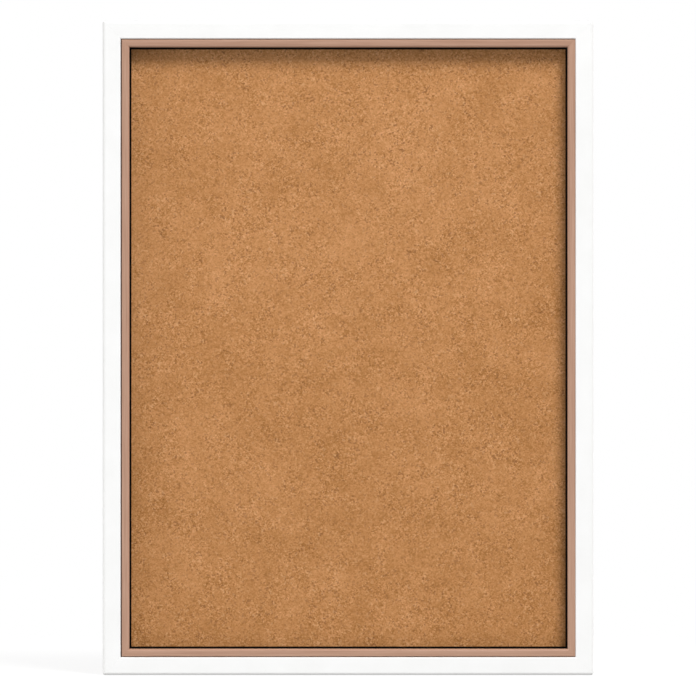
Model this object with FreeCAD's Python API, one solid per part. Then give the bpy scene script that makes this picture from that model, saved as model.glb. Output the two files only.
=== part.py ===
import FreeCAD, Part
import itertools
import math
import os

from FreeCAD import Vector

# A wall-hung cork bulletin board, 18 by 24 inches. A white mitred moulding holds a rose-brown inner
# slip in its rabbet. Inside the slip, and clear of it all round, a cork sheet lies on a softboard core,
# and both are glued to a hardboard backing. Framer's points hold the backing in the rabbet, and the
# board hangs by two D-rings and leans on two rubber bumpers.
#
# X runs across the board, Z up it, and Y from its face to the wall. The origin is on the wall, behind
# the middle of the board. Lengths are in millimetres, and angles in degrees.

# White moulding. Its section is an L: a face over a lip, with the rabbet behind the lip.
WIDTH = 457.2
HEIGHT = 609.6
DEPTH = 28.0
FACE = 16.8
LIP = 5.0
LIP_THICKNESS = 9.0
WALL = FACE - LIP
OUTER_ROUND = 2.8
INNER_ROUND = 1.2
BACK_EASE = 0.8
CORNER_ROUND = 2.0

# The rubber bumpers set how far the moulding's back stands off the wall.
STANDOFF = 4.5
BACK = -STANDOFF
FRONT = BACK - DEPTH

# Slip: a nose that shows inside the moulding, and a flange that the lip holds. It is a little smaller
# than its place, and sits towards the right, so the groove round it is widest on the left.
SLIP_FACE = 7.2
SLIP_SETBACK = 0.4
SLIP_FLANGE = 4.2
SLIP_UNDER_LIP = 0.2
SLIP_GROOVE_X = 0.5
SLIP_GROOVE_Z = 0.6
SLIP_SHIFT = 0.4
SLIP_INNER_ROUND = 2.4
SLIP_OUTER_ROUND = 0.8

# Panel: cork on softboard on hardboard, with a shadow gap between the cork and the slip.
RECESS = 15.0
SHADOW_GAP = 1.5
CORK_THICKNESS = 3.0
CORE_THICKNESS = 6.0
HARDBOARD_THICKNESS = 3.0
HARDBOARD_CLEARANCE = 0.8
CORK_Y = FRONT + RECESS
CORE_Y = CORK_Y + CORK_THICKNESS
HARDBOARD_Y = CORE_Y + CORE_THICKNESS
HARDBOARD_BACK = HARDBOARD_Y + HARDBOARD_THICKNESS

# V-nails: two across each mitre, pressed in flush with the moulding's back.
V_NAIL_LEG = 3.8
V_NAIL_THICKNESS = 0.6
V_NAIL_DEPTH = 10.0
V_NAIL_INSETS = (2.6, 7.2)

# Framer's points: flat tabs on the hardboard's back, with their tips driven into the moulding.
POINT_WIDTH = 6.0
POINT_LENGTH = 15.0
POINT_TIP = 4.0
POINT_BITE = 5.5
POINT_THICKNESS = 0.5
POINTS_SHORT_SIDE = (-140.0, 0.0, 140.0)
POINTS_LONG_SIDE = (-220.0, -75.0, 75.0, 220.0)

# Brads: driven through the slip's flange into the lip.
BRAD_FROM_LIP_EDGE = 1.6
BRAD_RADIUS = 0.6
BRAD_LENGTH = 19.0
BRAD_HEAD_RADIUS = 1.1
BRAD_HEAD = 0.8
BRADS_SHORT_SIDE = (-120.0, 120.0)
BRADS_LONG_SIDE = (-200.0, 0.0, 200.0)

# Hangers: a D-ring of round wire, held in the loop of a strap of folded sheet.
WIRE_RADIUS = 0.9
RING_HALF_WIDTH = 5.6
RING_LEG = 5.2
RING_CORNER = 1.5
SHEET = 0.7
LOOP_BORE = WIRE_RADIUS + 0.1
LOOP_RADIUS = LOOP_BORE + SHEET
STRAP_WIDTH = 8.0
STRAP_LENGTH = 14.0
STRAP_NECK = 3.6
STRAP_HOLE = 1.6
HANGER_X = WIDTH / 2 - 7.1
HANGER_Y = BACK + LOOP_RADIUS
HANGER_Z = HEIGHT / 4

# Pan-head screw of each hanger.
SCREW_BELOW_LOOP = 9.0
SCREW_RADIUS = 1.4
SCREW_LENGTH = 13.0
SCREW_TIP = 3.0
SCREW_HEAD_RADIUS = 3.0
SCREW_HEAD = 1.6
SCREW_HEAD_ROUND = 0.8
DRIVE_LENGTH = 3.4
DRIVE_WIDTH = 0.7
DRIVE_DEPTH = 0.9

# Bumpers: soft domes stuck to the stiles' backs, near the bottom corners.
BUMPER_RADIUS = 5.0
BUMPER_TAPER = 0.9
BUMPER_ROUND = 1.2
BUMPER_X = WIDTH / 2 - WALL / 2
BUMPER_Z = -HEIGHT / 2 + 24.0

# Each side of the frame is made as a top side, then turned about Y by its angle.
SIDES = {
    "top": (WIDTH, HEIGHT, 0),
    "right": (HEIGHT, WIDTH, 90),
    "bottom": (WIDTH, HEIGHT, 180),
    "left": (HEIGHT, WIDTH, 270),
}
FRAME_NAMES = {
    "top": "frame_top_rail",
    "right": "frame_right_stile",
    "bottom": "frame_bottom_rail",
    "left": "frame_left_stile",
}


def rounded_face(corners, place):
    """A flat face with the given corners (a, b, radius of the round), put in space by place(a, b)."""
    edges = []
    stops = []
    for i, (a, b, radius) in enumerate(corners):
        here = Vector(a, b, 0)
        back_way = Vector(*corners[i - 1][:2], 0) - here
        on_way = Vector(*corners[(i + 1) % len(corners)][:2], 0) - here
        half = back_way.getAngle(on_way) / 2
        cut = radius / math.tan(half)
        start = here + back_way.normalize() * cut
        end = here + on_way.normalize() * cut
        stops.append((start, end))
        if radius:
            inward = (back_way + on_way).normalize()
            middle = here + inward * (radius / math.sin(half) - radius)
            arc = [place(p.x, p.y) for p in (start, middle, end)]
            edges.append(Part.Arc(*arc).toShape())
    for i, (start, _) in enumerate(stops):
        before = stops[i - 1][1]
        if start.distanceToPoint(before) > 1e-6:
            edges.append(Part.makeLine(place(before.x, before.y), place(start.x, start.y)))
    return Part.Face(Part.Wire(Part.sortEdges(edges)[0]))


def slab(size_x, size_z, y_front, y_back):
    """A board centred on the Y axis, between two depths."""
    corner = Vector(-size_x / 2, y_front, -size_z / 2)
    return Part.makeBox(size_x, y_back - y_front, size_z, corner)


def turned(shape, angle):
    """The shape turned about the Y axis, from the top side to another one."""
    copy = shape.copy()
    copy.rotate(Vector(0, 0, 0), Vector(0, 1, 0), angle)
    return copy


def mitred_bar(section, length, across, side_width):
    """A bar along X at the top of a frame, with its ends mitred at 45 degrees.

    The section's corners are (depth Y, distance in from the frame's outer edge, round)."""
    top = across / 2
    half = length / 2
    profile = rounded_face(section, lambda y, inward: Vector(-half, y, top - inward))
    bar = profile.extrude(Vector(length, 0, 0))
    ends = [
        (-half, top, 0),
        (half, top, 0),
        (half - side_width, top - side_width, 0),
        (-half + side_width, top - side_width, 0),
    ]
    plan = rounded_face(ends, lambda x, z: Vector(x, FRONT, z))
    return bar.common(plan.extrude(Vector(0, DEPTH, 0)))


def frame_bars():
    """The four sides of the white moulding, by side."""
    lip_back = FRONT + LIP_THICKNESS
    section = [
        (FRONT, 0, OUTER_ROUND),
        (FRONT, FACE, INNER_ROUND),
        (lip_back, FACE, 0),
        (lip_back, WALL, 0),
        (BACK, WALL, 0),
        (BACK, 0, BACK_EASE),
    ]
    outline = [
        (-WIDTH / 2, -HEIGHT / 2, CORNER_ROUND),
        (WIDTH / 2, -HEIGHT / 2, CORNER_ROUND),
        (WIDTH / 2, HEIGHT / 2, CORNER_ROUND),
        (-WIDTH / 2, HEIGHT / 2, CORNER_ROUND),
    ]
    eased = rounded_face(outline, lambda x, z: Vector(x, FRONT, z)).extrude(Vector(0, DEPTH, 0))
    bars = {}
    for side, (length, across, angle) in SIDES.items():
        bars[side] = turned(mitred_bar(section, length, across, FACE), angle).common(eased)
    return bars


def slip_opening():
    """The clear width and height inside the slip."""
    side = 2 * (FACE + SLIP_FACE)
    return WIDTH - side - 2 * SLIP_GROOVE_X, HEIGHT - side - 2 * SLIP_GROOVE_Z


def slip_bars():
    """The four sides of the slip, by side."""
    open_x, open_z = slip_opening()
    side_width = SLIP_FLANGE + SLIP_FACE
    size_x, size_z = open_x + 2 * side_width, open_z + 2 * side_width
    face_y = FRONT + SLIP_SETBACK
    flange_y = FRONT + LIP_THICKNESS + SLIP_UNDER_LIP
    section = [
        (face_y, SLIP_FLANGE, SLIP_OUTER_ROUND),
        (face_y, side_width, SLIP_INNER_ROUND),
        (HARDBOARD_Y, side_width, 0),
        (HARDBOARD_Y, 0, 0),
        (flange_y, 0, 0),
        (flange_y, SLIP_FLANGE, 0),
    ]
    bars = {}
    for side, (_, _, angle) in SIDES.items():
        length, across = (size_z, size_x) if angle % 180 else (size_x, size_z)
        bar = turned(mitred_bar(section, length, across, side_width), angle)
        bars[side] = bar.translated(Vector(SLIP_SHIFT, 0, 0))
    return bars


def panel_sheet(y_front, y_back):
    """A sheet of the panel's size, which leaves the shadow gap inside the slip."""
    open_x, open_z = slip_opening()
    return slab(open_x - 2 * SHADOW_GAP, open_z - 2 * SHADOW_GAP, y_front, y_back)


def v_nails():
    """Two L-shaped steel wedges across each of the four mitres."""
    leg, sheet = V_NAIL_LEG, V_NAIL_THICKNESS
    plan = [(0, 0), (leg, 0), (leg, sheet), (sheet, sheet), (sheet, leg), (0, leg)]
    nails = []
    for right, up, inset in itertools.product((-1, 1), (-1, 1), V_NAIL_INSETS):
        x, z = WIDTH / 2 - inset, HEIGHT / 2 - inset
        corners = [(right * (x - a), up * (z - b), 0) for a, b in plan]
        face = rounded_face(corners, lambda a, b: Vector(a, BACK - V_NAIL_DEPTH, b))
        nails.append(face.extrude(Vector(0, V_NAIL_DEPTH, 0)))
    return nails


def along_sides(make, short_side, long_side):
    """One shape at each place along each side; make(x, across) makes it on a top side."""
    shapes = []
    for _, across, angle in SIDES.values():
        for x in long_side if angle % 180 else short_side:
            shapes.append(turned(make(x, across), angle))
    return shapes


def framers_point(x, across):
    """A flat steel tab on the hardboard's back, with its tip in the moulding."""
    tip = across / 2 - WALL + POINT_BITE
    half = POINT_WIDTH / 2
    plan = [
        (x, tip, 0),
        (x + half, tip - POINT_TIP, 0),
        (x + half, tip - POINT_LENGTH, 0),
        (x - half, tip - POINT_LENGTH, 0),
        (x - half, tip - POINT_TIP, 0),
    ]
    face = rounded_face(plan, lambda a, b: Vector(a, HARDBOARD_BACK, b))
    return face.extrude(Vector(0, POINT_THICKNESS, 0))


def slip_brad(x, across):
    """A brad with its head flush in the back of the slip's flange."""
    z = across / 2 - FACE + BRAD_FROM_LIP_EDGE
    forward = Vector(0, -1, 0)
    head = Part.makeCylinder(BRAD_HEAD_RADIUS, BRAD_HEAD, Vector(x, HARDBOARD_Y, z), forward)
    shank = Part.makeCylinder(BRAD_RADIUS, BRAD_LENGTH, Vector(x, HARDBOARD_Y, z), forward)
    return head.fuse(shank)


def hanger_strap():
    """A folded strap whose loop is centred at the origin, with its plate below on the moulding."""
    wood = -LOOP_RADIUS
    slant = LOOP_RADIUS * math.sin(math.radians(45))
    neck = [
        (wood, 0, 0),
        (wood, -STRAP_NECK, 0),
        (wood + 2 * SHEET, -STRAP_NECK, 0),
        (slant, -slant, 0),
        (0, 0, 0),
    ]
    left = -STRAP_WIDTH / 2
    along = Vector(STRAP_WIDTH, 0, 0)
    loop = Part.makeCylinder(LOOP_RADIUS, STRAP_WIDTH, Vector(left, 0, 0), Vector(1, 0, 0))
    bore = Part.makeCylinder(LOOP_BORE, STRAP_WIDTH, Vector(left, 0, 0), Vector(1, 0, 0))
    throat = rounded_face(neck, lambda y, z: Vector(left, y, z)).extrude(along)
    end = SCREW_BELOW_LOOP + STRAP_WIDTH / 2
    round_end = STRAP_WIDTH / 2
    plan = [
        (left, -STRAP_NECK, 0),
        (left, -end, round_end),
        (-left, -end, round_end),
        (-left, -STRAP_NECK, 0),
    ]
    plate = rounded_face(plan, lambda x, z: Vector(x, wood, z)).extrude(Vector(0, 2 * SHEET, 0))
    hole_at = Vector(0, wood, -SCREW_BELOW_LOOP)
    hole = Part.makeCylinder(STRAP_HOLE, 2 * SHEET, hole_at, Vector(0, 1, 0))
    return loop.fuse([throat, plate]).removeSplitter().cut(bore).cut(hole)


def d_ring():
    """A D of round wire, upright, with its straight bar's middle at the origin."""
    half, corner = RING_HALF_WIDTH, RING_CORNER
    bar_end = half - corner
    slant = corner * math.sin(math.radians(45))
    crown = Vector(0, 0, RING_LEG + half)

    def bend(sign):
        first = Vector(sign * bar_end, 0, 0)
        middle = Vector(sign * (bar_end + slant), 0, corner - slant)
        return Part.Arc(first, middle, Vector(sign * half, 0, corner)).toShape()

    edges = [
        Part.makeLine(Vector(-bar_end, 0, 0), Vector(bar_end, 0, 0)),
        bend(1),
        Part.makeLine(Vector(half, 0, corner), Vector(half, 0, RING_LEG)),
        Part.Arc(Vector(half, 0, RING_LEG), crown, Vector(-half, 0, RING_LEG)).toShape(),
        Part.makeLine(Vector(-half, 0, RING_LEG), Vector(-half, 0, corner)),
        bend(-1),
    ]
    path = Part.Wire(Part.sortEdges(edges)[0])
    wire_end = Part.Wire(Part.makeCircle(WIRE_RADIUS, Vector(0, 0, 0), Vector(1, 0, 0)))
    start = path.OrderedEdges[0]
    place = start.valueAt(start.FirstParameter)
    wire_end.Placement = FreeCAD.Placement(
        place, FreeCAD.Rotation(Vector(1, 0, 0), start.tangentAt(start.FirstParameter))
    )
    ring = path.makePipeShell([wire_end], True, False)
    if ring.Volume < 0:
        ring.reverse()
    return ring


def hanger_screw(shank_only=False):
    """A pan-head screw along -Y, with the underside of its head at the origin."""
    forward = Vector(0, -1, 0)
    body = Part.makeCylinder(SCREW_RADIUS, SCREW_LENGTH - SCREW_TIP, Vector(0, 0, 0), forward)
    tip_at = Vector(0, SCREW_TIP - SCREW_LENGTH, 0)
    tip = Part.makeCone(SCREW_RADIUS, 0, SCREW_TIP, tip_at, forward)
    shank = body.fuse(tip)
    if shank_only:
        return shank
    profile = [
        (0, 0, 0),
        (SCREW_HEAD_RADIUS, 0, 0),
        (SCREW_HEAD_RADIUS, SCREW_HEAD, SCREW_HEAD_ROUND),
        (0, SCREW_HEAD, 0),
    ]
    face = rounded_face(profile, lambda r, y: Vector(r, y, 0))
    head = face.revolve(Vector(0, 0, 0), Vector(0, 1, 0), 360)
    floor = SCREW_HEAD - DRIVE_DEPTH
    slots = [
        Part.makeBox(x, DRIVE_DEPTH, z, Vector(-x / 2, floor, -z / 2))
        for x, z in ((DRIVE_LENGTH, DRIVE_WIDTH), (DRIVE_WIDTH, DRIVE_LENGTH))
    ]
    return head.cut(slots[0].fuse(slots[1])).fuse(shank)


def wall_bumper():
    """A soft dome with its flat base on the moulding's back and its tip on the wall."""
    profile = [
        (0, BACK, 0),
        (BUMPER_RADIUS, BACK, 0),
        (BUMPER_RADIUS - BUMPER_TAPER, 0, BUMPER_ROUND),
        (0, 0, 0),
    ]
    face = rounded_face(profile, lambda r, y: Vector(r, y, 0))
    return face.revolve(Vector(0, 0, 0), Vector(0, 1, 0), 360)


def build():
    """Every sub-part, by node name."""
    frame = frame_bars()
    slips = slip_bars()
    nails = v_nails()
    points = along_sides(framers_point, POINTS_SHORT_SIDE, POINTS_LONG_SIDE)
    brads = along_sides(slip_brad, BRADS_SHORT_SIDE, BRADS_LONG_SIDE)
    nodes = {}
    for sign, hand in ((-1, "left"), (1, "right")):
        loop_at = Vector(sign * HANGER_X, HANGER_Y, HANGER_Z)
        screw_at = Vector(sign * HANGER_X, BACK + 2 * SHEET, HANGER_Z - SCREW_BELOW_LOOP)
        nodes[f"hanger_strap_{hand}"] = hanger_strap().translated(loop_at)
        nodes[f"d_ring_{hand}"] = d_ring().translated(loop_at)
        nodes[f"hanger_screw_{hand}"] = hanger_screw().translated(screw_at)
        bumper_at = Vector(sign * BUMPER_X, 0, BUMPER_Z)
        nodes[f"wall_bumper_{hand}"] = wall_bumper().translated(bumper_at)
        frame[hand] = frame[hand].cut(hanger_screw(shank_only=True).translated(screw_at))
    for side in SIDES:
        nodes[FRAME_NAMES[side]] = frame[side].cut(nails + points + brads)
        nodes[f"slip_{side}"] = slips[side].cut(brads)
    nodes["cork_sheet"] = panel_sheet(CORK_Y, CORE_Y).translated(Vector(SLIP_SHIFT, 0, 0))
    nodes["softboard_core"] = panel_sheet(CORE_Y, HARDBOARD_Y).translated(Vector(SLIP_SHIFT, 0, 0))
    rim = 2 * (WALL + HARDBOARD_CLEARANCE)
    nodes["hardboard_backing"] = slab(WIDTH - rim, HEIGHT - rim, HARDBOARD_Y, HARDBOARD_BACK)
    nodes["corner_v_nails"] = Part.makeCompound(nails)
    nodes["framers_points"] = Part.makeCompound(points)
    nodes["slip_brads"] = Part.makeCompound(brads)
    return nodes


os.makedirs("parts", exist_ok=True)
for name, shape in build().items():
    solids = len(shape.Solids)
    print(f"{name}: {solids} solid(s), {shape.Volume / 1000:.2f} cm3, valid {shape.isValid()}")
    shape.exportStep(f"parts/{name}.step")
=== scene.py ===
import math

import bmesh
import bpy
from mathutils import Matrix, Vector, noise


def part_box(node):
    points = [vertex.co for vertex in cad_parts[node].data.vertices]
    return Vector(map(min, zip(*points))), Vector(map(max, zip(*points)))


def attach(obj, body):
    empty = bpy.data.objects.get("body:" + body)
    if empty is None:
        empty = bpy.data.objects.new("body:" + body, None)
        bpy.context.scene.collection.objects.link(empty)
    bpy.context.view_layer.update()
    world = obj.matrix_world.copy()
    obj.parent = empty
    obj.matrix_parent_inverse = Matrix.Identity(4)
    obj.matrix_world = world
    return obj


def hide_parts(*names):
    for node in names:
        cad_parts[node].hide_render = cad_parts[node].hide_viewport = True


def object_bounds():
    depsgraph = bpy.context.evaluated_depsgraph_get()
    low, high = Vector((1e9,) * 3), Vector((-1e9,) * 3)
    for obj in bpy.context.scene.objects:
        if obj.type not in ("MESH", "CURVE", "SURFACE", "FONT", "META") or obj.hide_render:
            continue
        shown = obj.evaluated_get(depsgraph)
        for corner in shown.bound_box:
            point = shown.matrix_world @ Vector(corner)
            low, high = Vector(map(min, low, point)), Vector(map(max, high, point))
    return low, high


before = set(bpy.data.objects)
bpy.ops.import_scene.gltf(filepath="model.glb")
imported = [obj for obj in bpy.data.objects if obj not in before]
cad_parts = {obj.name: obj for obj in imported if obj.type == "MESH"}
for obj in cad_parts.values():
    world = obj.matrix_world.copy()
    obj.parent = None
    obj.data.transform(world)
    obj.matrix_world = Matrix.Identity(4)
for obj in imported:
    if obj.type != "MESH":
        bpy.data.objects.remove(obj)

# A wall-hung cork bulletin board. X runs across it, Z up it, and Y from its face to the wall, and the
# origin is on the wall behind its middle. Sizes are in millimetres until MM turns them into metres.
MM = 0.001
cad_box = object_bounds()

# ----------------------------------------------------------------------------------------------------
# White moulding: four lengths of planed pine, mitred, glued, and nailed across the back of the mitres.
# The outside is brushed with satin white paint. The rabbet and the back are left as bare wood.
# ----------------------------------------------------------------------------------------------------


class Socket:
    """An output in a node tree. Arithmetic on a number adds the Math nodes that work it out."""

    def __init__(self, tree, socket):
        self.tree = tree
        self.socket = socket

    def math(self, operation, *terms):
        return self.tree.node("ShaderNodeMath", {"operation": operation}, dict(enumerate((self, *terms))))

    def __add__(self, other):
        return self.math("ADD", other)

    def __radd__(self, other):
        return self.math("ADD", other)

    def __sub__(self, other):
        return self.math("SUBTRACT", other)

    def __rsub__(self, other):
        return self.tree.node("ShaderNodeMath", {"operation": "SUBTRACT"}, {0: other, 1: self})

    def __mul__(self, other):
        return self.math("MULTIPLY", other)

    def __rmul__(self, other):
        return self.math("MULTIPLY", other)

    def __truediv__(self, other):
        return self.math("DIVIDE", other)

    def __pow__(self, other):
        return self.math("POWER", other)

    def __abs__(self):
        return self.math("ABSOLUTE")


class Tree:
    """A node tree that is being made, for a shape or for a finish."""

    def __init__(self, tree):
        self.tree = tree

    def node(self, kind, settings=None, sockets=None, out=0):
        """Adds a node, sets it, fills its sockets with values or links, and returns one output."""
        made = self.tree.nodes.new(kind)
        for name, value in (settings or {}).items():
            if name == "stops":
                self.set_stops(made.color_ramp, value)
            else:
                setattr(made, name, value)
        for name, value in (sockets or {}).items():
            socket = self.find(made.inputs, name)
            if isinstance(value, Socket):
                self.tree.links.new(value.socket, socket)
            else:
                socket.default_value = value
        return Socket(self, self.find(made.outputs, out)) if made.outputs else None

    @staticmethod
    def find(sockets, name):
        """A socket by its place in the list, its identifier or its name."""
        if isinstance(name, int):
            return sockets[name]
        for socket in sockets:
            if socket.identifier == name:
                return socket
        return sockets[name]

    @staticmethod
    def set_stops(ramp, stops):
        while len(ramp.elements) < len(stops):
            ramp.elements.new(1.0)
        for element, (place, colour) in zip(ramp.elements, stops):
            element.position = place
            element.color = (*colour, 1.0)


class Shape(Tree):
    """A Geometry Nodes tree with named inputs."""

    def __init__(self, name, inputs):
        group = bpy.data.node_groups.new(name, "GeometryNodeTree")
        super().__init__(group)
        group.interface.new_socket("Geometry", in_out="INPUT", socket_type="NodeSocketGeometry")
        for label, kind in inputs.items():
            group.interface.new_socket(label, in_out="INPUT", socket_type=f"NodeSocket{kind}")
        group.interface.new_socket("Geometry", in_out="OUTPUT", socket_type="NodeSocketGeometry")
        self.entry = group.nodes.new("NodeGroupInput")

    def given(self, label):
        return Socket(self, self.entry.outputs[label])

    def ends_in(self, geometry, finish):
        """Closes the tree: realized, in its finish."""
        real = self.node("GeometryNodeRealizeInstances", {}, {"Geometry": geometry})
        done = self.node("GeometryNodeSetMaterial", {}, {"Geometry": real, "Material": finish})
        self.node("NodeGroupOutput", {}, {"Geometry": done})

    def make(self, name, source, values, arris=0.0):
        """A plain mesh object from this tree. Sharp edges are eased by the arris's width, in metres."""
        start = bpy.data.objects.new(name, source)
        bpy.context.scene.collection.objects.link(start)
        nodes = start.modifiers.new("shape", "NODES")
        nodes.node_group = self.tree
        for item in self.tree.interface.items_tree:
            if item.name in values:
                nodes[item.identifier] = values[item.name]
        if arris:
            ease = start.modifiers.new("arris", "BEVEL")
            ease.width = arris
            ease.segments = 2
            ease.limit_method = "ANGLE"
            ease.angle_limit = math.radians(35)
            start.modifiers.new("flat faces", "WEIGHTED_NORMAL").keep_sharp = True
        bpy.context.view_layer.update()
        view = bpy.context.evaluated_depsgraph_get()
        plain = bpy.data.meshes.new_from_object(start.evaluated_get(view), depsgraph=view)
        start.modifiers.clear()
        start.data = plain
        plain.name = name
        return start


class Finish(Tree):
    """A material on object coordinates, which are the board's own, in metres."""

    def __init__(self, name):
        self.material = bpy.data.materials.new(name)
        self.material.use_nodes = True
        self.material.node_tree.nodes.clear()
        super().__init__(self.material.node_tree)
        self.place = self.node("ShaderNodeTexCoord", out="Object")

    def along(self, axis):
        return self.node("ShaderNodeSeparateXYZ", {}, {"Vector": self.place}, out=axis)

    def stretched(self, size, start=0.0):
        """Coordinates in which one unit is size millimetres, or (x, y, z) millimetres each way."""
        sizes = size if isinstance(size, tuple) else (size, size, size)
        settings = {"Vector": self.place, "Location": (start, start * 0.7, start * 1.3)}
        settings["Scale"] = tuple(1 / (side * MM) for side in sizes)
        return self.node("ShaderNodeMapping", {}, settings)

    def clouds(self, size, detail=2.0, start=0.0, roughness=0.5):
        """Soft noise about 0.5, with blotches of that size."""
        sockets = {"Vector": self.stretched(size, start), "Scale": 1.0, "Detail": detail}
        sockets["Roughness"] = roughness
        return self.node("ShaderNodeTexNoise", {}, sockets, out="Fac")

    def cells(self, size, out="Distance", start=0.0):
        """Cells about that far apart: the distance to a cell's middle, or a random colour for each."""
        sockets = {"Vector": self.stretched(size, start), "Scale": 1.0, "Randomness": 1.0}
        return self.node("ShaderNodeTexVoronoi", {}, sockets, out=out)

    def chance(self, colour, channel="Red"):
        """One channel of a random colour, as a number from 0 to 1."""
        return self.node("ShaderNodeSeparateColor", {}, {"Color": colour}, out=channel)

    def between(self, value, low, high, to_low=0.0, to_high=1.0):
        """0 below low, 1 above high and smooth between, or the other two ends given."""
        sockets = {"Value": value, "From Min": low, "From Max": high}
        sockets["To Min"] = to_low
        sockets["To Max"] = to_high
        settings = {"interpolation_type": "SMOOTHSTEP"}
        return self.node("ShaderNodeMapRange", settings, sockets, out="Result")

    def ramp(self, value, *stops):
        return self.node("ShaderNodeValToRGB", {"stops": stops}, {"Fac": value}, out="Color")

    def mix(self, share, under, over, blend="MIX"):
        """Two colours mixed, by a share from 0 to 1."""
        sockets = {"Factor_Float": share}
        for name, colour in (("A_Color", under), ("B_Color", over)):
            sockets[name] = colour if isinstance(colour, Socket) else (*colour, 1.0)
        settings = {"data_type": "RGBA", "blend_type": blend, "clamp_factor": True}
        return self.node("ShaderNodeMix", settings, sockets, out="Result_Color")

    def lit(self, colour, strength, powers=(1.0, 1.0, 1.0)):
        """A colour made lighter or darker by a number about 1, to a power of its own for each of RGB."""
        shares = {i: strength ** power for i, power in enumerate(powers)}
        return self.mix(1.0, colour, self.node("ShaderNodeCombineColor", {}, shares), "MULTIPLY")

    def relief(self, height, depth, under=None):
        """A bumped normal: height from 0 to 1 stands for that depth in millimetres."""
        sockets = {"Height": height, "Distance": depth * MM, "Strength": 1.0}
        if under:
            sockets["Normal"] = under
        return self.node("ShaderNodeBump", {}, sockets, out="Normal")

    def ends_in(self, colour, roughness, normal, **fixed):
        """Closes the material with a Principled shader. Fixed values go straight on its sockets."""
        sockets = {"Base Color": colour, "Roughness": roughness, "Normal": normal}
        for name, value in fixed.items():
            sockets[name.replace("_", " ")] = value
        shader = self.node("ShaderNodeBsdfPrincipled", {}, sockets, out="BSDF")
        self.node("ShaderNodeOutputMaterial", {}, {"Surface": shader})
        return self.material


def rounded_outline(name, corners, steps):
    """A closed outline of (depth Y, distance in from the edge, radius) corners, as a mesh of edges.

    Depth is stored turned round, because a sweep along X turns its section's first axis round."""
    points = []
    for i, (depth, inward, radius) in enumerate(corners):
        here = Vector((depth, inward))
        if not radius:
            points.append(here)
            continue
        before = (Vector(corners[i - 1][:2]) - here).normalized()
        after = (Vector(corners[(i + 1) % len(corners)][:2]) - here).normalized()
        half = before.angle(after) / 2
        middle = here + (before + after).normalized() * (radius / math.sin(half))
        first = here + before * (radius / math.tan(half)) - middle
        sweep = math.copysign(math.pi - 2 * half, after.cross(before))
        begin = math.atan2(first.y, first.x)
        for step in range(steps + 1):
            angle = begin + sweep * step / steps
            points.append(middle + radius * Vector((math.cos(angle), math.sin(angle))))
    outline = bpy.data.meshes.new(name)
    vertices = [(-depth * MM, inward * MM, 0.0) for depth, inward in points]
    edges = [(i, (i + 1) % len(vertices)) for i in range(len(vertices))]
    outline.from_pydata(vertices, edges, [])
    return outline


def mitred_bar_tree():
    """Sweeps a section along X and mitres both ends, at the top of a frame, then turns it to its side.

    A point's distance in from the frame's edge shortens its run, which gives the 45-degree mitre. The
    rings lie closer towards the ends, and the corner in plan is rounded about its own centre."""
    sizes = {"Half length": "Float", "Top": "Float", "Corner round": "Float"}
    places = {"Turn": "Vector", "Shift": "Vector", "Rings": "Int", "Finish": "Material"}
    shape = Shape("mitred bar", sizes | places)
    half, top, corner = (shape.given(label) for label in sizes)
    line = shape.node("GeometryNodeCurvePrimitiveLine", {}, {"Start": (-1, 0, 0), "End": (1, 0, 0)})
    rings = shape.node("GeometryNodeResampleCurve", {}, {"Curve": line, "Count": shape.given("Rings")})
    section = shape.node("GeometryNodeMeshToCurve", {}, {"Mesh": shape.given("Geometry")})
    sweep = {"Curve": rings, "Profile Curve": section, "Fill Caps": True}
    bar = shape.node("GeometryNodeCurveToMesh", {}, sweep)
    position = shape.node("GeometryNodeInputPosition")

    def axis(name):
        return shape.node("ShaderNodeSeparateXYZ", {}, {"Vector": position}, out=name)

    across, depth, down = axis("X"), axis("Y"), axis("Z")
    side = across.math("SIGN")
    reach = (1 - (1 - abs(across)) ** 2.0) * (half + down)
    height = top + down
    past_x = (reach - (half - corner)).math("MAXIMUM", 0.0)
    past_z = (height - (top - corner)).math("MAXIMUM", 0.0)
    distance = (past_x * past_x + past_z * past_z).math("SQRT").math("MAXIMUM", 1e-9)
    pull = 1 - past_x.math("MAXIMUM", past_z) / distance
    moved = {"X": side * (reach - past_x * pull), "Y": depth, "Z": height - past_z * pull}
    place = shape.node("ShaderNodeCombineXYZ", {}, moved)
    bar = shape.node("GeometryNodeSetPosition", {}, {"Geometry": bar, "Position": place})
    turn = {"Geometry": bar, "Rotation": shape.given("Turn"), "Translation": shape.given("Shift")}
    bar = shape.node("GeometryNodeTransform", {}, turn)
    bar = shape.node("GeometryNodeSetShadeSmooth", {}, {"Geometry": bar, "Shade Smooth": True})
    shape.ends_in(bar, shape.given("Finish"))
    return shape


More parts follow.
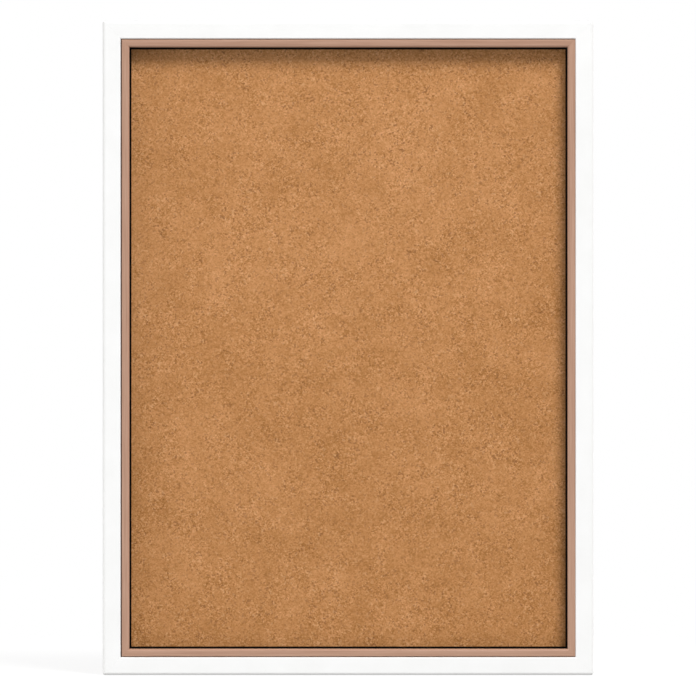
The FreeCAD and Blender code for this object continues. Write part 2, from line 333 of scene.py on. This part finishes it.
def moulding_finish(name, grain):
    """White paint outside, greyed along the rounded outer edge as painted shade, and bare pine behind.

    Grain is the noise's size along X, Y and Z."""
    finish = Finish(name)
    fibres = finish.clouds(grain, 3.0, 4.0)
    streaks = finish.clouds(tuple(side * 2.4 for side in grain), 2.0, 9.0)
    rings = finish.between(streaks, 0.46, 0.60) * 0.5 + fibres * 0.5
    pine = finish.ramp(
        rings,
        (0.2, (0.70, 0.50, 0.29)),
        (0.5, (0.60, 0.40, 0.21)),
        (0.8, (0.42, 0.24, 0.11)),
    )
    patches = finish.clouds(34.0, 3.0, 2.0)
    paint = finish.ramp(patches, (0.3, (0.91, 0.91, 0.90)), (0.7, (0.94, 0.94, 0.935)))
    scuffs = finish.between(finish.clouds((5.0, 5.0, 5.0), 4.0, 7.0, 0.7), 0.70, 0.78)
    paint = finish.mix(scuffs * 0.25, paint, (0.74, 0.72, 0.68))
    from_side = frame_half_width * MM - abs(finish.along("X"))
    from_top = frame_half_height * MM - abs(finish.along("Z"))
    inward = from_side.math("MINIMUM", from_top)
    ragged = (finish.clouds(3.0, 4.0, 5.0) - 0.5) * (2.4 * MM)
    # Painted shade: the paint is greyed within about 3 mm of the outer edge, where the rounded edge turns
    # from the light.
    edge_shade = finish.between(inward + ragged * 0.3, 0.6 * MM, 3.2 * MM, 1.0, 0.0)
    paint = finish.mix(edge_shade * 0.7, paint, (0.76, 0.755, 0.74))
    behind = (finish.along("Y") + ragged * 0.25).math("GREATER_THAN", paint_stops_y * MM)
    bare = behind * (inward + ragged).math("GREATER_THAN", paint_wraps * MM)
    colour = finish.mix(bare, paint, pine)
    brush = finish.clouds(tuple(side * 0.9 for side in grain), 2.0, 1.0)
    peel = finish.clouds(1.1, 2.0, 3.0)
    normal = finish.relief(brush * 0.6 + peel * 0.4, 0.03)
    normal = finish.relief(fibres * bare, 0.10, normal)
    gloss = finish.between(finish.clouds(9.0, 3.0, 6.0), 0.3, 0.7, 0.34, 0.46)
    roughness = gloss + bare * 0.38
    return finish.ends_in(colour, roughness, normal, IOR=1.48)


face_width = 16.8
lip_width = 5.0
lip_thickness = 9.0
moulding_wall = face_width - lip_width
rail_low, rail_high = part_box("frame_top_rail")
frame_half_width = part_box("frame_right_stile")[1].x / MM
frame_half_height = rail_high.z / MM
front_y = rail_low.y / MM
back_y = rail_high.y / MM
lip_back = front_y + lip_thickness
paint_stops_y = lip_back - 0.4
paint_wraps = 1.6

sides = {
    "top": (0, frame_half_width, frame_half_height),
    "right": (90, frame_half_height, frame_half_width),
    "bottom": (180, frame_half_width, frame_half_height),
    "left": (270, frame_half_height, frame_half_width),
}
moulding_section = rounded_outline("moulding section", [
    (front_y, 0, 2.8),
    (front_y, face_width, 1.2),
    (lip_back, face_width, 0),
    (lip_back, moulding_wall, 0),
    (back_y, moulding_wall, 0),
    (back_y, 0, 0.8),
], 8)
mitred_bar = mitred_bar_tree()
across_grain, down_grain = (90.0, 0.7, 0.7), (0.7, 0.7, 90.0)
painted = {
    "rail": moulding_finish("white paint on a rail", across_grain),
    "stile": moulding_finish("white paint on a stile", down_grain),
}
for side, (turn, half, top) in sides.items():
    kind = "stile" if turn % 180 else "rail"
    bar = mitred_bar.make(f"moulding_{side}", moulding_section, {
        "Half length": half * MM,
        "Top": top * MM,
        "Corner round": 2.0 * MM,
        "Turn": (0, math.radians(turn), 0),
        "Rings": 49,
        "Finish": painted[kind],
    }, arris=0.12 * MM)
    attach(bar, "board")
    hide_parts(f"frame_{side}_{kind}")

# ----------------------------------------------------------------------------------------------------
# Slip: a narrow inner moulding in rose-brown satin lacquer, coloured near black from just behind its face
# as painted shade for the dark gap. The white moulding's lip holds its flange, and it sits towards the
# right.
# ----------------------------------------------------------------------------------------------------


def slip_finish(name, grain):
    """Rose-brown lacquer over wood, whose fine streaks run along the slip."""
    finish = Finish(name)
    streaks = finish.clouds(grain, 3.0, 3.0)
    pores = finish.clouds(tuple(side * 0.45 for side in grain), 2.0, 8.0)
    broad = finish.clouds(tuple(side * 3.2 for side in grain), 2.0, 5.0)
    tone = streaks * 0.5 + pores * 0.2 + broad * 0.3
    colour = finish.ramp(
        tone,
        (0.30, (0.350, 0.190, 0.125)),
        (0.46, (0.440, 0.250, 0.168)),
        (0.56, (0.490, 0.290, 0.200)),
        (0.72, (0.560, 0.350, 0.255)),
    )
    flecks = finish.between(pores, 0.66, 0.74)
    colour = finish.mix(flecks * 0.5, colour, (0.20, 0.10, 0.06))
    # Painted shade: the inner wall is coloured near black and rougher from just behind the face, for the
    # shade in the deep gap.
    edge = (finish.clouds(2.0, 3.0, 6.0) - 0.5) * (0.6 * MM)
    gap_shade = (finish.along("Y") + edge).math("GREATER_THAN", (slip_front + gap_shade_starts) * MM)
    colour = finish.mix(gap_shade, colour, (0.020, 0.014, 0.010))
    normal = finish.relief(streaks * 0.5 + pores * 0.5, 0.03)
    roughness = finish.between(broad, 0.3, 0.7, 0.30, 0.44) + gap_shade * 0.3
    return finish.ends_in(colour, roughness, normal, IOR=1.49)


slip_low, slip_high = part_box("slip_left")
slip_right_low, slip_right_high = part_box("slip_right")
slip_flange = 4.2
gap_shade_starts = 2.7
slip_width = (slip_high.x - slip_low.x) / MM
slip_half_width = (slip_right_high.x - slip_low.x) / 2 / MM
slip_half_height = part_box("slip_top")[1].z / MM
slip_shift = (slip_right_high.x + slip_low.x) / 2
slip_front = slip_low.y / MM
slip_back = slip_high.y / MM
slip_section = rounded_outline("slip section", [
    (slip_front, slip_flange, 0.8),
    (slip_front, slip_width, 2.4),
    (slip_back, slip_width, 0),
    (slip_back, 0, 0),
    (lip_back + 0.2, 0, 0),
    (lip_back + 0.2, slip_flange, 0),
], 7)
lacquered = {
    "rail": slip_finish("rose lacquer along X", (40.0, 0.5, 0.5)),
    "stile": slip_finish("rose lacquer along Z", (0.5, 0.5, 40.0)),
}
for side, (turn, _, _) in sides.items():
    upright = bool(turn % 180)
    bar = mitred_bar.make(f"inner_slip_{side}", slip_section, {
        "Half length": (slip_half_height if upright else slip_half_width) * MM,
        "Top": (slip_half_width if upright else slip_half_height) * MM,
        "Corner round": 0.0,
        "Turn": (0, math.radians(turn), 0),
        "Shift": (slip_shift, 0, 0),
        "Rings": 49,
        "Finish": lacquered["stile" if upright else "rail"],
    }, arris=0.10 * MM)
    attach(bar, "board")
    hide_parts(f"slip_{side}")

# ----------------------------------------------------------------------------------------------------
# Cork sheet: fine ground cork, pressed with binder, cut from the block and sanded. Its face is nearly
# flat, with small pits where grains have pulled out. It is glued to the softboard core.
# ----------------------------------------------------------------------------------------------------


def relief_sheet(name, low, high, cell, fine_side, relief):
    """A closed sheet whose fine side, -1 for the front or 1 for the back, is a grid with relief.

    relief(x, z) is the depth in metres that the grid sinks there. Each edge of the sheet is one flat
    face between the grid's rim and the plain side's corners."""
    columns = round((high.x - low.x) / cell)
    rows = round((high.z - low.z) / cell)
    level, far = (low.y, high.y) if fine_side < 0 else (high.y, low.y)
    mesh = bmesh.new()
    grid = []
    for row in range(rows + 1):
        z = low.z + (high.z - low.z) * row / rows
        line = []
        for column in range(columns + 1):
            x = low.x + (high.x - low.x) * column / columns
            line.append(mesh.verts.new((x, level - fine_side * relief(x, z), z)))
        grid.append(line)
    for lower, upper in zip(grid, grid[1:]):
        for i in range(columns):
            face = mesh.faces.new((lower[i], lower[i + 1], upper[i + 1], upper[i]))
            face.smooth = True
    corners = [mesh.verts.new((x, far, z)) for x, z in
               ((low.x, low.z), (high.x, low.z), (high.x, high.z), (low.x, high.z))]
    rims = [grid[0], [line[-1] for line in grid], grid[-1][::-1], [line[0] for line in grid][::-1]]
    for i, rim in enumerate(rims):
        mesh.faces.new([*rim[::-1], corners[i], corners[(i + 1) % 4]])
        for start, end in zip(rim, rim[1:]):
            mesh.edges.get((start, end)).smooth = False
    mesh.faces.new(corners[::-1])
    if fine_side > 0:
        bmesh.ops.reverse_faces(mesh, faces=mesh.faces)
    made = bpy.data.meshes.new(name)
    mesh.to_mesh(made)
    mesh.free()
    sheet = bpy.data.objects.new(name, made)
    bpy.context.scene.collection.objects.link(sheet)
    return sheet


def cork_relief(x, z):
    """Depth of the sanded face: a soft unevenness, fine grain, and a pit where a grain has gone."""
    place = Vector((x, 0.0, z)) / MM
    soft = 0.5 + 0.5 * noise.noise(place / 55.0)
    grain = 0.5 + 0.5 * noise.noise(place / 3.4 + Vector((9.0, 4.0, 2.0)))
    distances, middles = noise.voronoi(place / 7.5)
    pick = noise.cell(middles[0] * 31.0)
    depth = 0.10 * soft + 0.07 * grain
    if pick > 0.80:
        depth += 0.32 * pick * max(0.0, 1 - distances[0] / 0.22) ** 0.7
    return depth * MM


def cork_finish():
    """Ground cork: grains in many browns with dark bark among them, in cloudy patches.

    The sheet is a little darker and yellower towards its foot, as painted shade."""
    finish = Finish("ground cork")
    coarse = finish.cells(2.1, "Color", 3.0)
    fine = finish.cells(1.15, "Color", 8.0)
    specks = finish.cells(1.5, "Color", 13.0)
    patches = finish.between(finish.clouds(14.0, 2.0, 1.0), 0.36, 0.64, 0.58, 1.08)
    drift = finish.clouds(95.0, 3.0, 6.0)
    fibres = finish.clouds(1.1, 3.0, 2.0, 0.7)
    tone = (finish.chance(coarse) - 0.5) * 0.20 + (finish.chance(fine) - 0.5) * 0.52
    tone = tone + (fibres - 0.5) * 1.05
    small_mottle = (finish.clouds(11.0, 2.0, 4.0) - 0.5) * 0.28
    mottle = small_mottle + (finish.clouds(36.0, 2.0, 9.0) - 0.5) * 0.36
    # Painted shade: the tone drops towards the foot of the sheet, most in blue.
    foot_shade = finish.between(finish.along("Z"), cork_foot, cork_head, -0.07, 0.03)
    tone = tone * patches + 1.0 + mottle + (drift - 0.5) * 0.34 + foot_shade
    dark = finish.between(finish.chance(specks), 0.90, 0.92) * patches
    light = finish.between(finish.chance(specks, "Green"), 0.88, 0.91) * patches
    colour = finish.lit((0.490, 0.2265, 0.0780), tone, (0.85, 1.05, 1.7))
    colour = finish.mix(finish.chance(coarse, "Blue") * 0.16, colour, (0.50, 0.200, 0.070))
    colour = finish.mix(dark * 0.52, colour, (0.215, 0.085, 0.028))
    colour = finish.mix(light * 0.44, colour, (0.72, 0.400, 0.190))
    grains = finish.cells(1.15, "Distance", 8.0) * 0.5 + finish.cells(2.1, "Distance", 3.0) * 0.5
    normal = finish.relief(fibres * 0.6 - grains * 0.5 - dark * 0.5, 0.11)
    roughness = finish.between(fibres, 0.3, 0.7, 0.82, 0.70)
    return finish.ends_in(colour, roughness, normal, IOR=1.4, Specular_IOR_Level=0.25)


cork_foot, cork_head = (corner.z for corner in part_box("cork_sheet"))
cork = relief_sheet("ground_cork_sheet", *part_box("cork_sheet"), 1.6 * MM, -1, cork_relief)
cork.data.materials.append(cork_finish())
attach(cork, "board")
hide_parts("cork_sheet")

# ----------------------------------------------------------------------------------------------------
# Bark chips: flat flakes of dark cork bark, pressed into the sheet's face with the ground cork and
# sanded level with it. They are one piece of many chips, no two turned or sized alike.
# ----------------------------------------------------------------------------------------------------


def bark_finish():
    finish = Finish("cork bark")
    tone = finish.clouds(0.9, 3.0, 4.0)
    colour = finish.ramp(tone, (0.3, (0.16, 0.065, 0.024)), (0.7, (0.33, 0.145, 0.055)))
    return finish.ends_in(colour, 0.8, finish.relief(tone, 0.06), IOR=1.4)


def bark_tree():
    """Scatters low chips over a flat face, each turned and sized at random."""
    inputs = {"Per area": "Float", "Size": "Float", "Seed": "Int", "Finish": "Material"}
    shape = Shape("bark chips", inputs)
    seed = shape.given("Seed")
    scatter = {"Mesh": shape.given("Geometry"), "Density": shape.given("Per area"), "Seed": seed}
    points = shape.node("GeometryNodeDistributePointsOnFaces", {}, scatter, out="Points")
    flake = {"Radius": shape.given("Size"), "Subdivisions": 1}
    chip = shape.node("GeometryNodeMeshIcoSphere", {}, flake)
    spin = {"Max": (0.25, 6.28, 0.25), "Min": (-0.25, 0.0, -0.25), "Seed": seed}
    turn = shape.node("FunctionNodeRandomValue", {"data_type": "FLOAT_VECTOR"}, spin)
    spread = {"Max": (1.0, 0.18, 0.65), "Min": (0.3, 0.10, 0.25), "Seed": seed}
    scale = shape.node("FunctionNodeRandomValue", {"data_type": "FLOAT_VECTOR"}, spread)
    sockets = {"Points": points, "Instance": chip, "Rotation": turn, "Scale": scale}
    chips = shape.node("GeometryNodeInstanceOnPoints", {}, sockets)
    shape.ends_in(chips, shape.given("Finish"))
    return shape


bark_inset = 3.0 * MM
bark_depth = 0.06 * MM
cork_low, cork_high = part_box("cork_sheet")
bark_bed = bpy.data.meshes.new("bark bed")
bed_x = (cork_low.x + bark_inset, cork_high.x - bark_inset)
bed_z = (cork_low.z + bark_inset, cork_high.z - bark_inset)
bed_y = cork_low.y + bark_depth
bed_corners = ((0, 0), (1, 0), (1, 1), (0, 1))
bark_bed.from_pydata([(bed_x[i], bed_y, bed_z[j]) for i, j in bed_corners], [], [(0, 1, 2, 3)])
bark = bark_tree().make("bark_chips", bark_bed, {
    "Per area": 3200.0,
    "Size": 0.75 * MM,
    "Seed": 5,
    "Finish": bark_finish(),
})
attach(bark, "board")

# ----------------------------------------------------------------------------------------------------
# Softboard core: the soft wood-fibre board that pins go into, glued under the cork. Only its cut edges
# show, deep in the shadow gap.
# ----------------------------------------------------------------------------------------------------


def softboard_finish():
    finish = Finish("softboard")
    layers = finish.clouds((6.0, 0.5, 6.0), 4.0, 2.0, 0.65)
    fibres = finish.clouds(0.8, 4.0, 5.0, 0.7)
    tone = layers * 0.6 + fibres * 0.4
    colour = finish.ramp(tone, (0.3, (0.20, 0.13, 0.075)), (0.7, (0.36, 0.25, 0.155)))
    return finish.ends_in(colour, 0.9, finish.relief(layers * 0.5 + fibres * 0.5, 0.25), IOR=1.4)


def dress(node, material):
    """Puts a finish on a part that keeps its own shape."""
    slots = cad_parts[node].material_slots
    for slot in slots:
        slot.material = material


dress("softboard_core", softboard_finish())

# ----------------------------------------------------------------------------------------------------
# Hardboard backing: pressed brown wood fibre, with the print of the press's wire screen on its back.
# Its front is coloured near black, as painted shade for the dark bottom of the shadow gap.
# ----------------------------------------------------------------------------------------------------


def hardboard_relief(x, z):
    """Depth of the back: a slight waviness, as such board takes up damp."""
    place = Vector((x, 0.0, z)) / MM
    waves = 0.5 + 0.5 * noise.noise(place / 120.0)
    ripples = 0.5 + 0.5 * noise.noise(place / 14.0)
    return (0.20 * waves + 0.05 * ripples) * MM


def hardboard_finish():
    finish = Finish("hardboard")
    fibres = finish.clouds(0.7, 4.0, 2.0, 0.65)
    level = finish.clouds((3.0, 3.0, 0.5), 3.0, 6.0)
    upright = finish.clouds((0.5, 3.0, 3.0), 3.0, 9.0)
    strands = level * 0.5 + upright * 0.5
    stains = finish.clouds(70.0, 4.0, 3.0, 0.6)
    tone = fibres * 0.36 + strands * 0.44 + stains * 0.20
    colour = finish.ramp(
        tone,
        (0.36, (0.125, 0.058, 0.026)),
        (0.50, (0.205, 0.105, 0.050)),
        (0.64, (0.300, 0.170, 0.088)),
    )
    pitch = screen_pitch * MM
    wave_x = (finish.along("X") * (2 * math.pi / pitch)).math("SINE")
    wave_z = (finish.along("Z") * (2 * math.pi / pitch)).math("SINE")
    screen = wave_x * wave_z * 0.5 + 0.5
    wear = finish.between(finish.clouds(40.0, 2.0, 5.0), 0.35, 0.6, 0.4, 1.0)
    print_on_back = screen * wear
    colour = finish.lit(colour, print_on_back * 0.22 + 0.88)
    # Painted shade: the front is coloured near black and rougher, for the shade at the bottom of the gap.
    front = finish.along("Y").math("LESS_THAN", hardboard_front + 0.4 * MM)
    colour = finish.mix(front, colour, (0.006, 0.005, 0.004))
    normal = finish.relief(print_on_back * 0.7 + fibres * 0.3, 0.16)
    roughness = finish.between(strands, 0.4, 0.6, 0.62, 0.50) + front * 0.3
    return finish.ends_in(colour, roughness, normal, IOR=1.45)


screen_pitch = 2.2
hardboard_low, hardboard_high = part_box("hardboard_backing")
hardboard_front = hardboard_low.y
hardboard = relief_sheet(
    "pressed_hardboard", hardboard_low, hardboard_high, 4.0 * MM, 1, hardboard_relief
)
hardboard.data.materials.append(hardboard_finish())
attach(hardboard, "board")
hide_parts("hardboard_backing")

# ----------------------------------------------------------------------------------------------------
# V-nails: bent strips of bare steel, two pressed into the back of each mitre, square across the joint.
# Their free edges curl a little, which draws the two mouldings together.
# ----------------------------------------------------------------------------------------------------


def bare_steel_finish():
    """Cold-rolled strip: fine rolling lines, a few brown spots of rust, and grey mill scale."""
    finish = Finish("bare steel")
    lines = finish.clouds((0.15, 6.0, 6.0), 2.0, 2.0)
    scale = finish.clouds(2.5, 3.0, 4.0)
    rust = finish.between(finish.clouds(1.6, 4.0, 8.0, 0.7), 0.62, 0.72)
    colour = finish.ramp(scale, (0.3, (0.30, 0.30, 0.31)), (0.7, (0.52, 0.51, 0.50)))
    colour = finish.mix(rust * 0.7, colour, (0.20, 0.085, 0.035))
    roughness = finish.between(scale, 0.3, 0.7, 0.30, 0.46) + rust * 0.35
    metal = 1 - rust * 0.8
    normal = finish.relief(lines * 0.5 + scale * 0.5, 0.02)
    return finish.ends_in(colour, roughness, normal, Metallic=metal)


def set_out_tree():
    """Puts a fastener at each point, turned about Y by the point's own turn."""
    shape = Shape("set out fasteners", {"Fastener": "Object", "Finish": "Material"})
    given = {"Object": shape.given("Fastener")}
    shape_of = shape.node("GeometryNodeObjectInfo", {}, given, out="Geometry")
    kind = {"data_type": "FLOAT"}
    turn = shape.node("GeometryNodeInputNamedAttribute", kind, {"Name": "turn"})
    rotation = shape.node("ShaderNodeCombineXYZ", {}, {"Y": turn})
    points = shape.node("GeometryNodeMeshToPoints", {}, {"Mesh": shape.given("Geometry")})
    sockets = {"Points": points, "Instance": shape_of, "Rotation": rotation}
    placed = shape.node("GeometryNodeInstanceOnPoints", {}, sockets)
    shape.ends_in(placed, shape.given("Finish"))
    return shape


def places_mesh(name, places):
    """Points in millimetres (x, y, z), each with a turn about Y in degrees."""
    mesh = bpy.data.meshes.new(name)
    mesh.from_pydata([tuple(Vector(place) * MM) for place, _ in places], [], [])
    turns = mesh.attributes.new("turn", "FLOAT", "POINT")
    turns.data.foreach_set("value", [math.radians(turn) for _, turn in places])
    return mesh


def plate_object(name, outline, y_front, y_back, arris):
    """A plate between two depths, from its (x, z) outline, with eased edges. All in millimetres."""
    mesh = bmesh.new()
    ring = [mesh.verts.new((x * MM, y_front * MM, z * MM)) for x, z in outline]
    face = mesh.faces.new(ring)
    pushed = bmesh.ops.extrude_face_region(mesh, geom=[face])
    moved = [item for item in pushed["geom"] if isinstance(item, bmesh.types.BMVert)]
    bmesh.ops.translate(mesh, verts=moved, vec=(0, (y_back - y_front) * MM, 0))
    bmesh.ops.recalc_face_normals(mesh, faces=mesh.faces)
    bmesh.ops.bevel(mesh, geom=list(mesh.edges), offset=arris * MM, segments=1, affect="EDGES")
    made = bpy.data.meshes.new(name)
    mesh.to_mesh(made)
    mesh.free()
    return bpy.data.objects.new(name, made)


def v_nail_outline():
    """The strip's plan: two legs from the joint, and a curl turned out at the end of each."""
    leg, sheet, curl = 3.8, 0.6, 0.5
    outside = [(0.0, 0.0), (leg - curl, 0.0), (leg, -curl)]
    inside = [(leg + 0.35, -curl + 0.4), (leg - curl + 0.2, sheet)]
    arm = outside + inside
    other = [(z, x) for x, z in arm[:0:-1]]
    return [(-x, -z) for x, z in [*arm, (sheet, sheet), *other]]


v_nail_insets = (2.6, 7.2)
v_nail_depth = 10.0
v_nail_proud = 0.12
steel = bare_steel_finish()
set_out = set_out_tree()
v_nail = plate_object(
    "v nail", v_nail_outline(), back_y - v_nail_depth, back_y + v_nail_proud, 0.06
)
v_nail_places = []
for quarter in range(4):
    right = 1 if quarter < 2 else -1
    up = 1 if quarter in (0, 3) else -1
    for inset in v_nail_insets:
        x, z = right * (frame_half_width - inset), up * (frame_half_height - inset)
        v_nail_places.append(((x, 0.0, z), 90 * quarter))
v_nails = set_out.make("pressed_v_nails", places_mesh("v nail places", v_nail_places), {
    "Fastener": v_nail,
    "Finish": steel,
})
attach(v_nails, "board")
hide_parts("corner_v_nails")

# ----------------------------------------------------------------------------------------------------
# Framer's points: flat bare steel tabs with cut corners. They are shot into the rabbet's wall, so that
# they lie on the hardboard and hold it.
# ----------------------------------------------------------------------------------------------------


def framers_point_outline():
    """A tab along Z with its tip up, at the origin's height where it enters the wood."""
    half, length, tip, shoulder = 3.0, 9.5, 5.5, 1.6
    right = [(half, shoulder), (half, -length + 1.2), (half - 1.2, -length)]
    return [(0.0, tip), *right, *[(-x, z) for x, z in reversed(right)]]


point_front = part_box("framers_points")[0].y / MM
point_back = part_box("framers_points")[1].y / MM
point_lift = 0.03
tab = plate_object(
    "framers point", framers_point_outline(), point_front + point_lift, point_back, 0.07
)
short_side, long_side = (-140.0, 0.0, 140.0), (-220.0, -75.0, 75.0, 220.0)
tab_places = []
for turn, _, top in sides.values():
    angle = math.radians(turn)
    for along in long_side if turn % 180 else short_side:
        wall = top - moulding_wall
        x = along * math.cos(angle) + wall * math.sin(angle)
        z = wall * math.cos(angle) - along * math.sin(angle)
        tab_places.append(((x, 0.0, z), turn))
tabs = set_out.make("steel_framers_points", places_mesh("point places", tab_places), {
    "Fastener": tab,
    "Finish": steel,
})
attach(tabs, "board")
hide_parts("framers_points")

# ----------------------------------------------------------------------------------------------------
# Brads: plain round steel brads through the slip's flange. They are covered by the hardboard.
# ----------------------------------------------------------------------------------------------------
dress("slip_brads", steel)

# ----------------------------------------------------------------------------------------------------
# Hangers: a D-ring of bent wire in a folded strap, screwed to each stile's back. Strap, ring and screw
# are zinc plated, bright but cloudy, with a fine spangle and small scratches.
# ----------------------------------------------------------------------------------------------------


def zinc_finish():
    finish = Finish("zinc plate")
    spangle = finish.chance(finish.cells(1.3, "Color", 4.0))
    haze = finish.clouds(3.0, 4.0, 2.0, 0.6)
    marks = finish.between(finish.clouds((0.3, 2.5, 0.3), 3.0, 7.0), 0.60, 0.70)
    tone = haze * 0.7 + spangle * 0.3
    colour = finish.ramp(tone, (0.25, (0.48, 0.50, 0.53)), (0.75, (0.72, 0.73, 0.74)))
    colour = finish.mix(marks * 0.4, colour, (0.36, 0.36, 0.37))
    roughness = finish.between(haze, 0.3, 0.7, 0.20, 0.38) + marks * 0.1
    normal = finish.relief(haze * 0.6 + spangle * 0.4, 0.015)
    return finish.ends_in(colour, roughness, normal, Metallic=1.0)


zinc = zinc_finish()
for hand in ("left", "right"):
    for part in ("hanger_strap", "d_ring", "hanger_screw"):
        dress(f"{part}_{hand}", zinc)

# ----------------------------------------------------------------------------------------------------
# Wall bumpers: soft clear-grey domes, moulded in polyurethane and stuck near the bottom corners.
# ----------------------------------------------------------------------------------------------------


def bumper_finish():
    finish = Finish("bumper rubber")
    dust = finish.between(finish.clouds(1.8, 4.0, 3.0, 0.65), 0.5, 0.75)
    cast = finish.clouds(5.0, 2.0, 6.0)
    colour = finish.ramp(cast, (0.3, (0.34, 0.34, 0.335)), (0.7, (0.44, 0.44, 0.43)))
    colour = finish.mix(dust * 0.35, colour, (0.60, 0.58, 0.54))
    roughness = dust * 0.25 + 0.28
    return finish.ends_in(colour, roughness, finish.relief(cast * 0.5 + dust * 0.5, 0.03), IOR=1.5)


rubber = bumper_finish()
for hand in ("left", "right"):
    dress(f"wall_bumper_{hand}", rubber)

# ----------------------------------------------------------------------------------------------------
# Studio: a plain pale floor under the board, white all round, a large soft light up and to the right,
# a weak one at the left, and a long lens straight in front. The floor throws no light on the board.
# ----------------------------------------------------------------------------------------------------


def floor_finish():
    """Matt white near the board, which turns into the white surround further out."""
    finish = Finish("studio floor")
    distance = finish.node("ShaderNodeVectorMath", {"operation": "LENGTH"}, {0: finish.place}, out="Value")
    grain = finish.clouds(60.0, 2.0)
    fade = finish.between(distance, 0.33, 0.9)
    matt = finish.node("ShaderNodeBsdfDiffuse", {}, {"Color": (0.15, 0.15, 0.15, 1.0), "Roughness": 1.0})
    glow = finish.node("ShaderNodeEmission", {}, {"Color": (1.0, 1.0, 1.0, 1.0), "Strength": 0.86})
    near = finish.node("ShaderNodeAddShader", {}, {0: matt, 1: glow})
    far = finish.node("ShaderNodeEmission", {}, {"Color": (1.0, 1.0, 1.0, 1.0), "Strength": 1.0})
    share = fade * (grain * 0.02 + 0.98)
    both = finish.node("ShaderNodeMixShader", {}, {0: share, 1: near, 2: far})
    finish.node("ShaderNodeOutputMaterial", {}, {"Surface": both})
    return finish.material


def surround():
    """White to the eye. It lights the board evenly, and a little more from behind."""
    world = bpy.data.worlds.new("white surround")
    world.use_nodes = True
    world.node_tree.nodes.clear()
    bpy.context.scene.world = world
    tree = Tree(world.node_tree)
    way = tree.node("ShaderNodeTexCoord", out="Generated")
    depth = tree.node("ShaderNodeSeparateXYZ", {}, {"Vector": way}, out="Y")
    sockets = {"Value": depth, "From Min": -0.3, "From Max": 0.1, "To Min": 0.50, "To Max": 0.90}
    light = tree.node("ShaderNodeMapRange", {"interpolation_type": "SMOOTHSTEP"}, sockets, out="Result")
    seen = tree.node("ShaderNodeLightPath", out="Is Camera Ray")
    strength = light * (1 - seen) + seen
    shader = tree.node("ShaderNodeBackground", {}, {"Color": (1, 1, 1, 1), "Strength": strength})
    tree.node("ShaderNodeOutputWorld", {}, {"Surface": shader})


floor_level = cad_box[0].z - 0.3 * MM
floor_half = 2.5
floor_mesh = bpy.data.meshes.new("floor")
floor_mesh.from_pydata(
    [(x * floor_half, y * floor_half, floor_level) for x, y in ((-1, -1), (1, -1), (1, 1), (-1, 1))],
    [], [(0, 1, 2, 3)],
)
floor = bpy.data.objects.new("floor", floor_mesh)
bpy.context.scene.collection.objects.link(floor)
floor_mesh.materials.append(floor_finish())
floor.visible_diffuse = False
floor.visible_shadow = False
surround()


def soft_light(name, aside, up, distance, size, watts):
    """A square light facing the board, at angles to the right of straight in front and above it."""
    data = bpy.data.lights.new(name, "AREA")
    data.shape = "SQUARE"
    data.size = size
    data.energy = watts
    light = bpy.data.objects.new(name, data)
    way = Vector((math.sin(aside) * math.cos(up), -math.cos(aside) * math.cos(up), math.sin(up)))
    light.location = way * distance
    light.rotation_euler = way.to_track_quat("Z", "Y").to_euler()
    bpy.context.scene.collection.objects.link(light)


soft_light("key", math.radians(31), math.radians(47), 14.0, 5.0, 1690.0)
soft_light("fill", math.radians(-78), math.radians(-8), 3.0, 1.0, 22.0)

camera_distance = 6.0
sensor_width = 36.0
view_width = 0.6482
middle = (cad_box[0] + cad_box[1]) / 2
lens = bpy.data.cameras.new("camera")
lens.sensor_width = sensor_width
lens.lens = sensor_width * camera_distance / view_width
lens.clip_end = 100.0
camera = bpy.data.objects.new("camera", lens)
camera.location = (middle.x, front_y * MM - camera_distance, middle.z)
camera.rotation_euler = (math.radians(90), 0, 0)
bpy.context.scene.collection.objects.link(camera)
bpy.context.scene.camera = camera
bpy.context.scene.view_settings.view_transform = "Standard"
